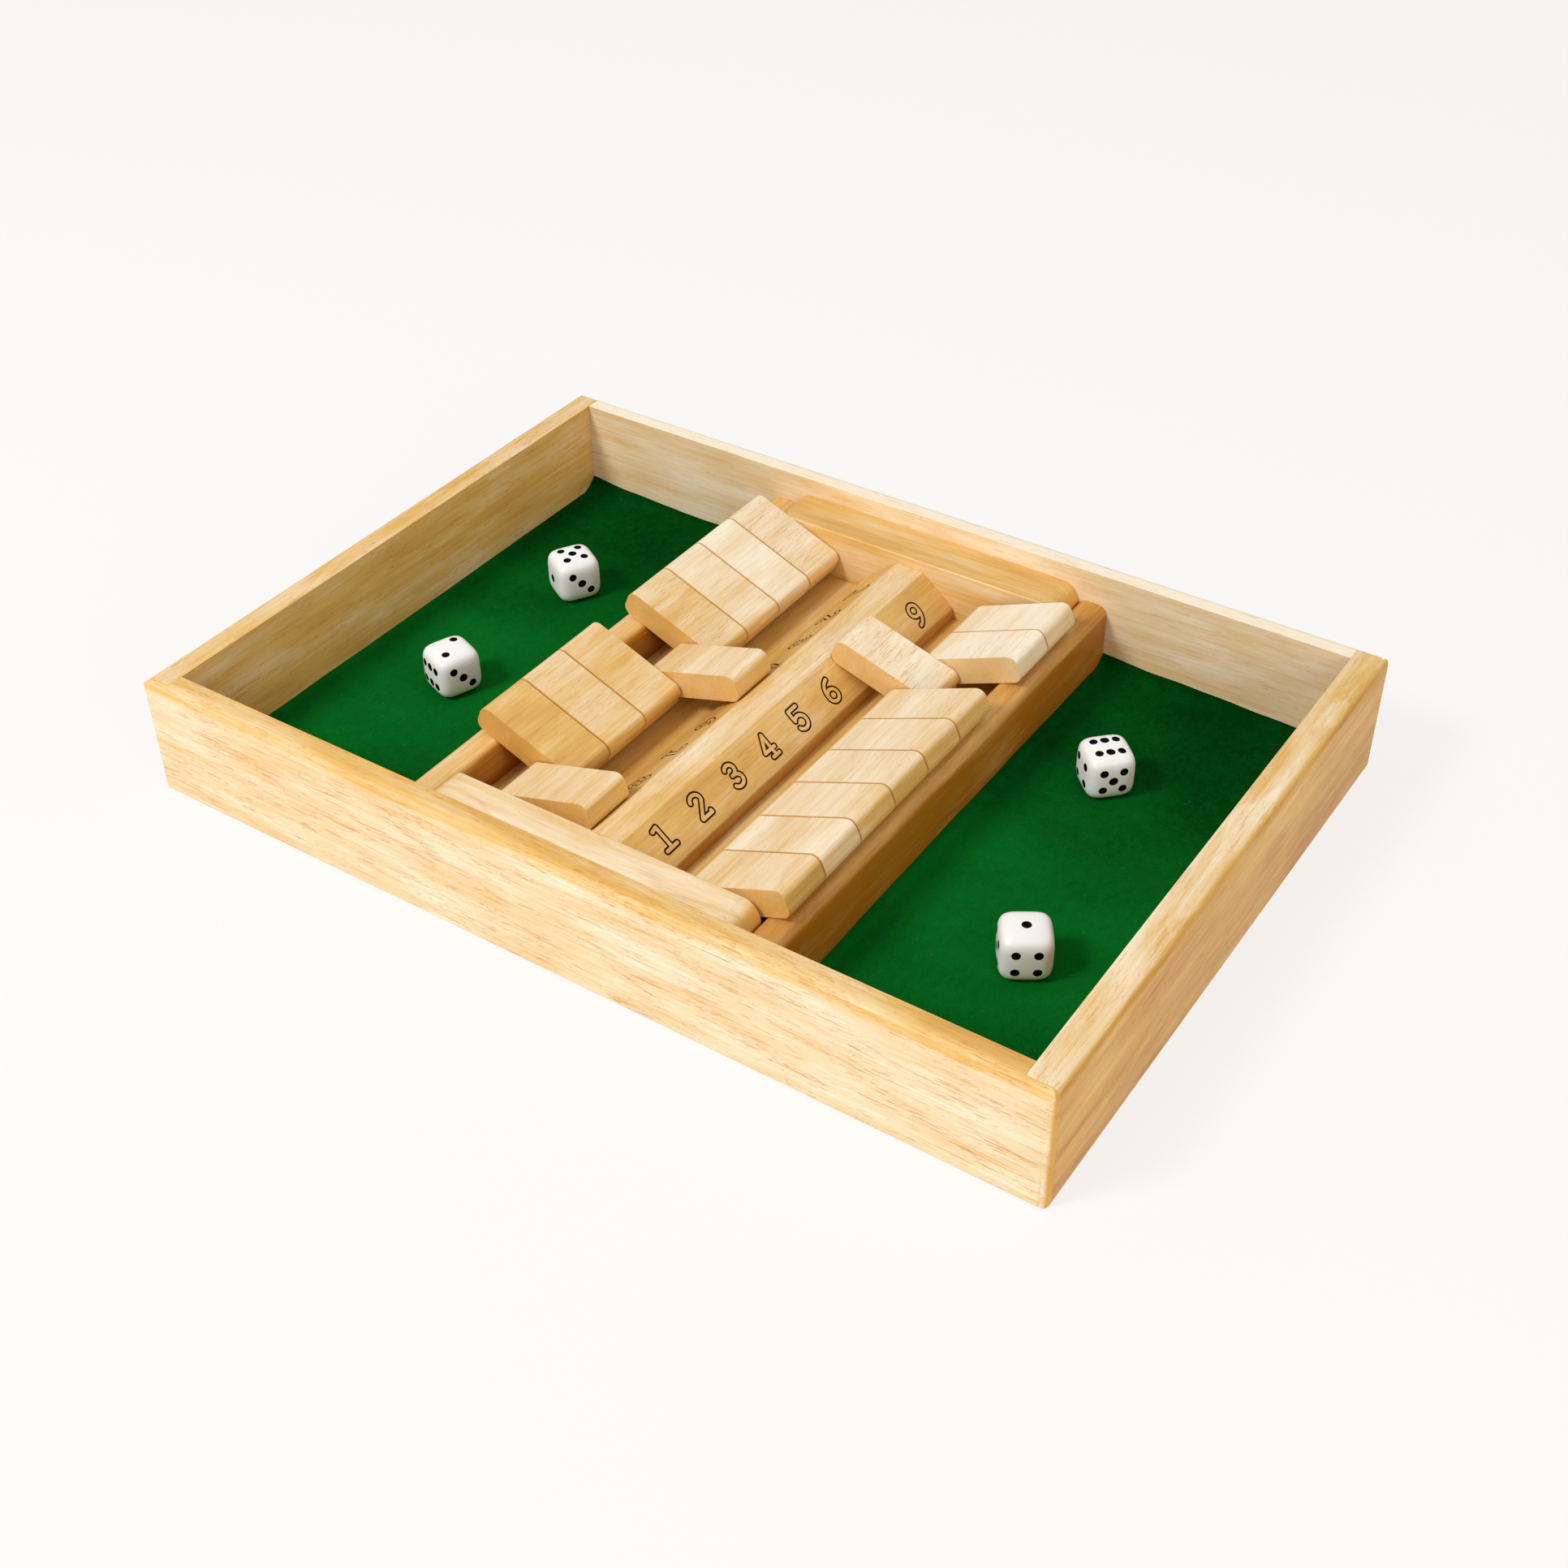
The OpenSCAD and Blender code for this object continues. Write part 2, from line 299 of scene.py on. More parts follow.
def tone_depth(r, timber, ring, figure):
    """0 is pale, 1 is honey and 2 is amber."""
    drift = r.math("MULTIPLY", r.math("SUBTRACT", ring, 0.5), figure)
    for pattern, share in DRIFTS:
        wave = r.math("MULTIPLY_ADD", timber.noise(*pattern), share, -share / 2)
        drift = r.math("ADD", drift, wave)
    drift = r.math("MULTIPLY", drift, r.math("MULTIPLY_ADD", timber.end, -0.50, 1.0))
    # painted shade, partly: a face takes the tone of the sides as it turns away from up
    sides, top = timber.tone["X"], timber.tone["Y"]
    depth = r.math("MULTIPLY_ADD", timber.level, r.math("SUBTRACT", top, sides), sides)
    to_end = r.math("SUBTRACT", timber.end_tone, depth)
    return r.math("ADD", r.math("MULTIPLY_ADD", timber.end, to_end, depth), drift)


def wood_colour(r, depth, end, line, figure):
    """The tone with the growth lines on it, and deeper on a sawn end."""
    pale_part = r.math("ADD", depth, 0.0, clamp=True)
    amber_part = r.math("SUBTRACT", depth, 1.0, clamp=True)
    colour = r.mix(amber_part, r.mix(pale_part, PALE, HONEY), AMBER)
    bold = r.math("MULTIPLY", figure, r.math("MULTIPLY_ADD", end, -0.40, 0.55))
    colour = r.mix(r.math("MULTIPLY", line, bold, clamp=True), colour, LINE)
    return r.mix(end, colour, r.mix(1.0, colour, END_TINT, "MULTIPLY"))


# %% [markdown]
# ### The whole recipe
# The pores are inked onto the tone, and a sawn end shows few of them. Fine fibre shades
# everything a little. Lacquer over sanded wood has slow waves, which break up the
# highlights, and the pores stay open, so they count in the bump and the roughness too.

# %% The wood recipe
def wood(name, along, gap_shade, shine):
    """The finish of wood with its grain along X or Y."""
    r = Recipe(name)
    timber = Timber(r, along)
    end, steep = timber.end, timber.end_on

    # growth lines, and how the pores crowd along them and in flights
    ring = growth_rings(r, timber)
    line = r.between(ring, *LINES)
    flights = r.between(timber.noise(*FLIGHTS, slanting=True), *FLIGHT_EDGE)
    along_lines = r.math("MULTIPLY", line, timber.figure)
    crowd = r.math("MAXIMUM", flights, along_lines, clamp=True)
    weaker = r.math("MULTIPLY_ADD", timber.level, 0.75, 0.25)
    figure = r.math("MULTIPLY", timber.figure, weaker)
    colour = wood_colour(r, tone_depth(r, timber, ring, figure), end, line, figure)

    # the pores
    shown = r.math("MULTIPLY", timber.tone["Z"], r.math("MULTIPLY_ADD", end, -0.6, 1.0))
    long_dash, short_dash, pale_dash = (
        dashes(r, timber, crowd, *kind) for kind in (LONG_DASH, SHORT_DASH, PALE_DASH))
    for dash, share, ink in ((pale_dash, 0.55, LINE), (long_dash, 0.52, PORE),
                             (short_dash, 0.42, PORE)):
        seen = r.math("MULTIPLY", shown, share)
        colour = r.mix(r.math("MULTIPLY", dash, seen), colour, ink)

    # painted shade: a thin brown line where a sawn end meets the long sides, which darkens
    # the gaps between the tiles
    rim = r.math("MULTIPLY", r.between(steep, 0.15, 0.35), r.between(steep, 0.97, 0.85))
    colour = r.mix(r.math("MULTIPLY", rim, gap_shade), colour, GAP_SHADE)
    fibre = timber.noise(*FIBRE)
    shade = r.math("MULTIPLY_ADD", fibre, 0.14, 0.93)
    grey = r.add("ShaderNodeCombineColor", {0: shade, 1: shade, 2: shade}).outputs[0]
    colour = r.mix(1.0, colour, grey, "MULTIPLY")

    # the surface of the lacquer
    holes = r.math("MULTIPLY", r.math("MAXIMUM", long_dash, short_dash), shown)
    waves = timber.noise(*LACQUER_WAVES)
    height = r.math("MULTIPLY_ADD", holes, -0.5, r.math("MULTIPLY", fibre, 0.30))
    height = r.math("MULTIPLY_ADD", waves, 0.9, height)
    rough = r.math("MULTIPLY_ADD", holes, 0.2, r.math("MULTIPLY_ADD", waves, 0.24, 0.26))
    rough = r.math("MULTIPLY_ADD", end, 0.12, rough)
    return r.finish(Base_Color=colour, Roughness=rough, Normal=r.bump(height, 0.5, 0.0001),
                    Coat_Weight=0.07 * shine, Coat_Roughness=0.20,
                    Specular_IOR_Level=0.36 * shine)


# %% [markdown]
# ## Easing the wood
# A maker runs sandpaper over every sharp edge, and the thin line of light on an eased
# edge is what makes a block look like wood. A Bevel modifier could do it, but here the
# edges are chosen one by one: only those that stick out, and never the rim of a bore.
# The solids come in with their flat faces cut into triangles, so these are joined first.

# %% Ease the edges of a solid
SHARP = math.radians(33)         # an edge that turns more than this is eased
FLAT = math.radians(0.4)         # faces that turn less than this are one face
CREASE = math.radians(39)        # shading breaks at an edge that turns more than this
JOIN = 1e-7           # corners closer than this, in metres, are one


def piece_from_solid(node):
    """A mesh of a solid's shape, with its corners joined and its flat faces whole."""
    mesh = bmesh.new()
    mesh.from_mesh(frame["nodes"][node].data)
    bmesh.ops.remove_doubles(mesh, verts=mesh.verts, dist=JOIN)
    bmesh.ops.dissolve_limit(mesh, angle_limit=FLAT, verts=mesh.verts, edges=mesh.edges)
    return mesh


def ease(mesh, width, wanted=lambda edge: True, steps=3):
    """Rounds the edges that stick out and that `wanted` picks."""
    edges = [
        e for e in mesh.edges
        if len(e.link_faces) == 2 and e.calc_face_angle_signed(0) > SHARP and wanted(e)
    ]
    bmesh.ops.bevel(mesh, geom=edges, offset=width, offset_type="OFFSET", segments=steps,
                    profile=0.5, affect="EDGES", clamp_overlap=False, loop_slide=True)
    return len(edges)


def shaded(mesh, name, *materials):
    """Makes the object. Large faces keep their own shading, small ones blend into them."""
    for face in mesh.faces:
        face.smooth = True
    for edge in mesh.edges:
        one_finish = len({face.material_index for face in edge.link_faces}) == 1
        inside = one_finish and len(edge.link_faces) == 2
        edge.smooth = inside and edge.calc_face_angle(0) < CREASE
    data = bpy.data.meshes.new(name)
    mesh.to_mesh(data)
    mesh.free()
    piece = bpy.data.objects.new(name, data)
    scene.collection.objects.link(piece)
    for material in materials:
        data.materials.append(material)
    normals = piece.modifiers.new("shading", "WEIGHTED_NORMAL")
    normals.mode = "FACE_AREA"
    normals.keep_sharp = True
    return piece


def stand_for(piece, node):
    """The piece takes a solid's place: it moves as the solid does, and the solid is hidden.
    """
    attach(piece, frame["nodes"][node]["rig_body"])
    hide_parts(node)


BRINK = 0.5           # a face steeper than 60 degrees has none of the tone of the top


def plank(piece, tone, figure, shift, end_tone, brink=BRINK):
    """What the wood recipe reads: the tone of the sides, of the top, and the pores; the
    figure; the spot it was cut from; the tone of its ends; and its brink."""
    piece["brink"] = float(brink)
    piece["end_tone"] = float(end_tone)
    piece["tone"] = [float(share) for share in tone]
    piece["figure"] = float(figure)
    piece["grain_shift"] = [float(step) for step in shift]
    return piece


# %% [markdown]
# ## The boards, the rails, the blocks and the floor of the well
# These are plain sawn and moulded sticks, glued up. Their grain runs along their length.

# %% Dress the fixed wood
# the tones of the sides and of the top differ partly with the cut of the grain and partly as
# painted shade
FIXED_WOOD = {
    # node: (slot, grain, (tone of the sides, of the top, pores), figure, edge in mm, shift)
    "front_board": ("tray_wood", "X", (0.47, 0.91, 1.0), 0.25, 0.16, (0, 0, 0)),
    "back_board": ("tray_wood", "X", (0.45, -0.40, 0.45), 0.25, 0.16, (310, 80, 25)),
    "left_board": ("tray_wood", "Y", (1.00, 0.78, 1.0), 0.35, 0.16, (55, 900, 10)),
    "right_board": ("tray_wood", "Y", (1.36, 0.49, 0.7), 1.5, 0.16, (-170, 400, 0)),
    "rail_left": ("rail_wood", "Y", (1.95, 0.88, 0.4), 0.3, 0.3, (820, 0, 60)),
    "rail_right": ("rail_wood", "Y", (1.97, 1.52, 0.5), 0.4, 0.3, (470, 150, 33)),
    "trough_floor": ("floor_wood", "Y", (1.10, 1.05, 0.3), 0.4, 0.2, (130, 700, 90)),
    "front_rod_block": ("block_wood", "X", (0.75, 0.45, 0.3), 0.3, 0.2, (90, 640, 12)),
    "back_rod_block": ("block_wood", "X", (0.80, 1.05, 0.2), 0.3, 0.2, (505, 35, 71)),
}
BOARD_END = 1.15      # the tone of a sawn end of these sticks
# their round edges take the tone of the top; on the front board this deeper tone is painted
# shade over the edge that the lamp lights most
MOULDED = ("front_board", "rail_right")   # their round edges match the top
MOULDED_BRINK = 0.03
# The tray is rubbed down duller than the tiles, and lacquer barely reaches the well.
SHINE = {"tray_wood_along_x": 0.5, "tray_wood_along_y": 0.3, "floor_wood_along_y": 0.2}
finishes = {}


def wood_for(slot, along, gap_shade=0.0):
    """One finish for each slot and direction of grain."""
    key = f"{slot}_along_{along.lower()}"
    if key not in finishes:
        finishes[key] = wood(key, along, gap_shade, SHINE.get(key, 1.0))
    return finishes[key]


for node, (slot, along, tone, figure, edge, shift) in FIXED_WOOD.items():
    mesh = piece_from_solid(node)
    count = ease(mesh, edge * MM)
    piece = shaded(mesh, node + "_eased", wood_for(slot, along))
    brink = MOULDED_BRINK if node in MOULDED else BRINK
    stand_for(plank(piece, tone, figure, shift, BOARD_END, brink), node)
    print(f"{node}: {count} edges eased, {len(piece.data.polygons)} faces")

# %% [markdown]
# ## The tiles
# The tiles are cut from one long moulding and turn on the rods. A tile's end grain
# faces its neighbours, and each tile has its own tone.

# %% Dress the tiles
TILE_LOOKS = {
    # the tone of the top and the pores of tiles 1 to 9
    "left": ((0.37, 0.8), (0.26, 0.2), (0.32, 0.4), (0.62, 0.7), (0.57, 0.6), (0.76, 0.5),
             (0.69, 0.7), (1.00, 0.7), (0.63, 0.5)),
    "right": ((0.57, 0.3), (0.39, 0.4), (0.44, 0.3), (0.47, 0.5), (0.43, 0.4), (0.49, 0.6),
              (0.37, 1.0), (0.02, 0.5), (0.09, 0.3)),
}
ROD_X, ROD_Z = 37.5, 28.3        # where the rods run, in mm
BORE_REACH = 3.0      # the rim of a bore lies nearer to the rod than this, in mm
TILE_EDGE = 0.2
# how strong the painted shade in the gaps between the tiles is
TILE_GAP_SHADE = 0.3
TILE_FIGURE = 0.15
# the sides of a tile are deeper in tone than its top: partly the other cut of the grain,
# partly painted shade
SIDE_SHADE_AND_GRAIN = 0.5     # how much deeper the tone is on the sides of a tile
END_DEEP = 0.58       # the tone of a sawn end of a pale tile
END_FOLLOW = 0.5      # how much of a tile's own tone its sawn ends share
TILE_STEP = (61, 173, 29)        # from the spot one tile was cut from to the next
ROW_START = {"left": 400, "right": 0}


def off_the_bore(edge):
    """True for an edge of a tile that isn't the rim of its bore."""
    return all(math.hypot(abs(v.co.x) / MM - ROD_X, v.co.z / MM - ROD_Z) > BORE_REACH
               for v in edge.verts)


for side, looks in TILE_LOOKS.items():
    for number, (tone, pores) in enumerate(looks, 1):
        node = f"tile_{side}_{number}"
        mesh = piece_from_solid(node)
        ease(mesh, TILE_EDGE * MM, off_the_bore)
        piece = shaded(mesh, node + "_eased", wood_for("tile_wood", "Y", TILE_GAP_SHADE))
        x, y, z = (number * step for step in TILE_STEP)
        look = (tone + SIDE_SHADE_AND_GRAIN, tone, pores)
        end_tone = END_DEEP + END_FOLLOW * tone
        plank(piece, look, TILE_FIGURE, (x + ROW_START[side], y, z), end_tone)
        stand_for(piece, node)
print("tiles dressed:", sum(len(looks) for looks in TILE_LOOKS.values()))

# %% [markdown]
# ## The numbers on the bar
# Each slope of the bar carries the numbers 1 to 9, burned into the wood as a thin dark
# outline. Blender's text object would give filled letters of some font, so each number
# is drawn here as the path of a round-nosed cutter: a few straight and bowed strokes.
# The outline lies where the distance to the strokes is half the cutter's width.

# %% Draw the strokes of the numbers
PEN_REACH = 0.95      # from the middle of a stroke to the burned line, in mm
BURN_HALF = 0.32      # half the width of the burned line
BURN_DEPTH = 0.20
BOW_STEP = 9          # degrees from one point of a bow to the next
FAR = 99.0            # further than any stroke


def bow(x, y, wide, high, start, end):
    """Points on an arc of an ellipse, with its angles in degrees."""
    count = max(2, int(abs(end - start) / BOW_STEP))
    turns = [math.radians(start + (end - start) * i / count) for i in range(count + 1)]
    return [(x + wide * math.cos(t), y + high * math.sin(t)) for t in turns]


# the strokes of each number, in mm from its middle
NUMBER_STROKES = {
    1: [[(-2.25, 3.55), (-0.05, 4.05), (0.0, -3.95)], [(-2.55, -3.95), (2.6, -3.95)]],
    2: [bow(0.0, 2.05, 2.3, 2.0, 168, -22) + [(-2.4, -3.75)],
        [(-2.4, -3.95), (2.5, -3.95), (2.4, -3.3)]],
    3: [bow(-0.1, 2.15, 2.1, 1.9, 150, -80), [(-0.6, 0.25), (0.3, 0.25)],
        bow(0.0, -1.85, 2.45, 2.1, 88, -148)],
    4: [[(0.9, 4.0), (-2.6, -1.4), (2.5, -1.4)], [(0.95, 4.0), (0.95, -4.0)],
        [(-0.7, -4.0), (2.6, -4.0)]],
    5: [[(2.2, 3.95), (-2.2, 3.95), (-2.25, 0.55)], bow(-0.15, -1.45, 2.6, 2.5, 142, -150)],
    6: [bow(0.05, -1.75, 2.35, 2.25, 0, 360), bow(2.6, -1.2, 4.9, 5.15, 185, 100)],
    7: [[(-2.35, 3.2), (-2.35, 3.95), (2.35, 3.95), (-0.1, -3.9)],
        [(-1.6, -3.95), (1.4, -3.95)]],
    8: [bow(0.0, 2.1, 1.95, 1.9, 0, 360), bow(0.0, -1.95, 2.4, 2.1, 0, 360)],
    9: [bow(-0.05, 1.75, 2.35, 2.25, 0, 360), bow(-2.6, 1.2, 4.9, 5.15, 5, -80)],
}


def distance_to(strokes, points):
    """How far each point is from the nearest stroke."""
    best = np.full(len(points), FAR)
    for path in strokes:
        path = np.array(path, float)
        for start, end in zip(path[:-1], path[1:]):
            step = end - start
            along = np.clip((points - start) @ step / (step @ step), 0, 1)
            away = points - start - along[:, None] * step
            best = np.minimum(best, np.hypot(away[:, 0], away[:, 1]))
    return best


print("numbers drawn:", len(NUMBER_STROKES))

# %% [markdown]
# ### From distance to outline
# The distance is worked out on a fine grid, and marching squares finds the lines where
# it has a wanted value: the two edges of the burned line and its deepest part.

# %% Find the outlines
GRID_STEP = 0.14
CELL = (4.6, 6.0)     # half the width and height of the field round a number, in mm


def level_lines(field, xs, ys, level):
    """The points and edges of the lines on which the field has that level."""
    points, edges, known = [], [], {}
    inside = field < level

    def crossing(i, j, k, m):
        if (i, j, k, m) not in known:
            share = (level - field[i, j]) / (field[k, m] - field[i, j])
            known[i, j, k, m] = len(points)
            points.append((xs[i] + share * (xs[k] - xs[i]),
                           ys[j] + share * (ys[m] - ys[j])))
        return known[i, j, k, m]

    for i in range(len(xs) - 1):
        for j in range(len(ys) - 1):
            a, b = inside[i, j], inside[i + 1, j]
            c, d = inside[i + 1, j + 1], inside[i, j + 1]
            if a == b == c == d:
                continue
            cuts = []
            if a != b:
                cuts.append(crossing(i, j, i + 1, j))
            if b != c:
                cuts.append(crossing(i + 1, j, i + 1, j + 1))
            if c != d:
                cuts.append(crossing(i, j + 1, i + 1, j + 1))
            if d != a:
                cuts.append(crossing(i, j, i, j + 1))
            edges += [tuple(cuts[n:n + 2]) for n in range(0, len(cuts), 2)]
    return points, edges


def number_outline(number):
    """Points, edges, and for each point whether it is at the bottom of the burned line."""
    xs = np.arange(-CELL[0], CELL[0], GRID_STEP)
    ys = np.arange(-CELL[1], CELL[1], GRID_STEP)
    grid = np.array([(x, y) for x in xs for y in ys])
    field = distance_to(NUMBER_STROKES[number], grid).reshape(len(xs), len(ys))
    points, edges, deep = [], [], []
    for level in (PEN_REACH - BURN_HALF, PEN_REACH, PEN_REACH + BURN_HALF):
        found, joins = level_lines(field, xs, ys, level)
        edges += [(a + len(points), b + len(points)) for a, b in joins]
        deep += [level == PEN_REACH] * len(found)
        points += found
    return points, edges, deep


outlines = {number: number_outline(number) for number in NUMBER_STROKES}
print("points in the outlines:", sum(len(o[0]) for o in outlines.values()))

# %% [markdown]
# ### Burning the numbers in
# A slope of the bar is one flat face. It is swapped for a mesh that has the outlines in
# it, which a constrained Delaunay triangulation makes, and the middle of each burned
# line is pushed into the wood. The bar stays one closed shape with real grooves.

# %% Burn the numbers into the slopes
NUMBER_DROP = 7.8     # from the edge of the ridge to the middle of number 1, in mm
NUMBER_ROWS = {
    # slope: (pitch of the numbers, shift of the row, how much lower each number sits)
    1: (18.6, 0.4, 0.28),
    -1: (18.4, 0.0, 0.20),
}
RIDGE_EDGE = (5.2, 34.4)         # across the tray and up, in mm
SLOPE_FOOT = (18.7, 23.3)
SAME_WAY = 0.999      # how well the slope's own face agrees with the slope
CLOSE = 1e-5          # points of the outlines closer than this, in mm, are one


def spot_of(number, side):
    """The middle of a number: along the row from number 5, up the slope from number 1."""
    pitch, shift, drift = NUMBER_ROWS[side]
    return (number - 5) * pitch + shift, (1 - number) * drift


def burn_slope(mesh, side):
    """Cuts the nine numbers into the slope on that side, 1 for right and -1 for left."""
    run = Vector((SLOPE_FOOT[0] - RIDGE_EDGE[0], 0, SLOPE_FOOT[1] - RIDGE_EDGE[1]))
    run.normalize()
    reading = Vector((0, side, 0))
    up = Vector((-run.x * side, 0, -run.z))
    normal = reading.cross(up)
    start = Vector((RIDGE_EDGE[0] * side, 0, RIDGE_EDGE[1]))
    middle = (start - up * NUMBER_DROP) * MM
    facing = (face for face in mesh.faces if face.normal.dot(normal) > SAME_WAY)
    slope = max(facing, key=lambda face: face.calc_area())
    corners = list(slope.verts)
    middle += normal * (corners[0].co - middle).dot(normal)
    away = [corner.co - middle for corner in corners]
    flat = [(way.dot(reading) / MM, way.dot(up) / MM) for way in away]
    edges = [(i, (i + 1) % len(flat)) for i in range(len(flat))]
    deep = [False] * len(flat)
    for number, (points, joins, bottom) in outlines.items():
        shift, rise = spot_of(number, side)
        edges += [(a + len(flat), b + len(flat)) for a, b in joins]
        flat += [(x + shift, y + rise) for x, y in points]
        deep += bottom
    flat = [Vector(p) for p in flat]
    places, _, faces, source, _, _ = delaunay_2d_cdt(flat, edges, [], 0, CLOSE, True)
    made = []
    for place, origins in zip(places, source):
        old = [i for i in origins if i < len(corners)]
        sunk = BURN_DEPTH if any(deep[i] for i in origins) else 0.0
        spot = middle + (reading * place.x + up * place.y - normal * sunk) * MM
        made.append(corners[old[0]] if old else mesh.verts.new(spot))
    bmesh.ops.delete(mesh, geom=[slope], context="FACES_ONLY")
    centres = np.array([np.mean([places[i] for i in face], axis=0) for face in faces])
    nearest = np.full(len(faces), FAR)
    for number, strokes in NUMBER_STROKES.items():
        local = centres - spot_of(number, side)
        close = np.abs(local[:, 0]) < CELL[0]
        nearest[close] = distance_to(strokes, local[close])
    burned = np.abs(nearest - PEN_REACH) < BURN_HALF
    for face, dark in zip(faces, burned):
        mesh.faces.new([made[i] for i in face]).material_index = int(dark)
    return len(faces)


def burned_wood():
    r = Recipe("burned_line")
    coords = r.add("ShaderNodeTexCoord").outputs["Object"]
    soot = r.noise(r.vector("MULTIPLY", coords, (1500, 700, 1500)), 3.0, 0.6)
    colour = r.mix(soot, paint(28, 12, 5), paint(64, 34, 16))
    return r.finish(Base_Color=colour, Roughness=0.9, Normal=r.bump(soot, 0.4, 0.0001),
                    Specular_IOR_Level=0.08)


BAR_EDGE = 0.25
# the slopes and sides of the bar take a deeper tone than its ridge: partly the other cut of
# the grain, partly painted shade
BAR_LOOK = (1.56, 0.76, 0.7)     # the tone of its sides and of its top, and its pores

mesh = piece_from_solid("number_bar")
ease(mesh, BAR_EDGE * MM)
counts = [burn_slope(mesh, side) for side in (1, -1)]
mesh.normal_update()
piece = shaded(mesh, "number_bar_burned", wood_for("bar_wood", "Y"), burned_wood())
plank(piece, BAR_LOOK, figure=0.2, shift=(33, 210, 5), end_tone=BAR_LOOK[0])
stand_for(piece, "number_bar")
print("faces on the two slopes:", counts)

# %% [markdown]
# ## The rods
# The tiles turn on plain drawn steel rods. They show only as a glint between the tiles.
# Drawing leaves fine lines along a rod, which stretch its highlight.

# %% Dress the rods
def drawn_steel():
    r = Recipe("drawn_steel")
    coords = r.add("ShaderNodeTexCoord").outputs["Object"]
    lines = r.noise(r.vector("MULTIPLY", coords, (9000, 60, 9000)), 3.0, 0.6)
    spots = r.noise(r.vector("MULTIPLY", coords, (300, 90, 300)), 2.0, 0.5)
    colour = r.mix(spots, paint(206, 205, 203), paint(226, 225, 222))
    rough = r.math("MULTIPLY_ADD", lines, 0.22, 0.14)
    return r.finish(Base_Color=colour, Metallic=1.0, Roughness=rough,
                    Normal=r.bump(lines, 0.2, 0.00003))


ROD_EDGE = 0.3

steel = drawn_steel()
for side in ("left", "right"):
    node = f"rod_{side}"
    mesh = piece_from_solid(node)
    ease(mesh, ROD_EDGE * MM, steps=2)
    stand_for(shaded(mesh, node + "_drawn", steel), node)
print("rods dressed")

# %% [markdown]
# ## The base panel
# Under the felt and the well lies a thin sheet of plywood, held in the groove of the
# boards. It is seen only from below: wide, calm grain from a peeled log.

# %% Dress the base panel
def plywood():
    r = Recipe("base_plywood")
    coords = r.add("ShaderNodeTexCoord").outputs["Object"]
    place = r.vector("MULTIPLY", coords, PER_METRE)
    waves = r.noise(r.vector("MULTIPLY", place, (0.006, 0.028, 0.2)), 2.0, 0.5, 0.6)
    bands = r.noise(r.vector("MULTIPLY", place, (0.012, 0.16, 0.5)), 3.0, 0.6, 0.4)
    fibre = r.noise(r.vector("MULTIPLY", place, (0.12, 3.0, 3.0)), 2.0, 0.6)
    pores = r.noise(r.vector("MULTIPLY", place, (0.16, 2.1, 2.1)), 1.0)
    pores = r.between(pores, 0.64, 0.74)
    tone = r.math("MULTIPLY_ADD", waves, 0.8, r.math("MULTIPLY_ADD", bands, 0.7, -0.25))
    colour = r.mix(tone, paint(226, 194, 150), paint(186, 138, 92))
    colour = r.mix(r.math("MULTIPLY", pores, 0.6), colour, paint(132, 86, 50))
    colour = r.mix(r.math("MULTIPLY", fibre, 0.25), colour, paint(160, 112, 70))
    return r.finish(Base_Color=colour, Roughness=0.7, Normal=r.bump(fibre, 0.3, 0.0001))


PANEL_EDGE = 0.2

mesh = piece_from_solid("base_panel")
ease(mesh, PANEL_EDGE * MM, steps=2)
stand_for(shaded(mesh, "base_panel_plywood", plywood()), "base_panel")
print("base panel dressed")

# %% [markdown]
# ## The felt in the bays
# Each bay is lined with green felt that was cut a little too long, so that it turns up
# where it meets a wall. Cloth simulation would suit a loose cloth, but this one is
# pressed flat, so its sheet is given as a grid that is fine near the walls, with
# an edge that climbs the wall by a height that wanders along it.

# %% Shape the edge of the felt
FELT_TOP = 8.5        # above the table, in mm, like all sizes of the felt
FELT_THICK = 0.95
BAY_DEEP = 108.7      # half the depth of a bay
BAY_INNER, BAY_OUTER = 70.5, 158.2
# places of the grid across a turned-up edge, as shares of it
EDGE_SHARES = (0.0, 0.10, 0.22, 0.36, 0.52, 0.70, 0.85)
EDGE_GAP = 0.08       # between the edge of the felt and the wall
EDGE_RUN = (2.2, 1.3)            # length of a turned-up edge: with no height, and for each mm
EDGE_LEAST = 0.25     # the least height of an edge
FLAT_FROM = 9.0       # from a wall to the flat part
WEAVE_STEP = 3.0      # of the grid on the flat part
FELT_EDGES = {
    # height above the felt along each wall, from its low end to its high end, in mm
    "left": {"low_x": (1.0, 0.6, 0.5), "high_x": (0.6, 0.5, 1.0),
             "low_y": (0.8, 0.7, 0.9), "high_y": (5.0, 2.4, 2.6)},
    "right": {"low_x": (1.2, 2.4, 1.6), "high_x": (0.6, 0.5, 1.0),
              "low_y": (0.8, 0.6, 0.9), "high_y": (5.0, 3.2, 1.3)},
}


def wander(place, seed):
    """A slow, uneven wave between about -1 and 1."""
    return 0.5 * (math.sin(place / 7.3 + seed) + math.sin(place / 17.9 + 2.3 * seed)
                  + 0.5 * math.sin(place / 3.1 + 3.7 * seed))


def edge_height(heights, place, low, high, seed):
    """How far the edge of the felt climbs the wall at that place."""
    share = (place - low) / (high - low) * (len(heights) - 1)
    step = min(int(max(share, 0)), len(heights) - 2)
    height = heights[step] + (heights[step + 1] - heights[step]) * (share - step)
    return max(EDGE_LEAST, height * (1 + 0.10 * wander(place, seed)))


def stations(low, high):
    """Places across the felt: (wall it belongs to, share of the edge or place)."""
    inner = np.linspace(low + FLAT_FROM, high - FLAT_FROM, int((high - low) / WEAVE_STEP))
    first = [("low", share) for share in EDGE_SHARES]
    last = [("high", share) for share in reversed(EDGE_SHARES)]
    return first + [("flat", float(p)) for p in inner] + last


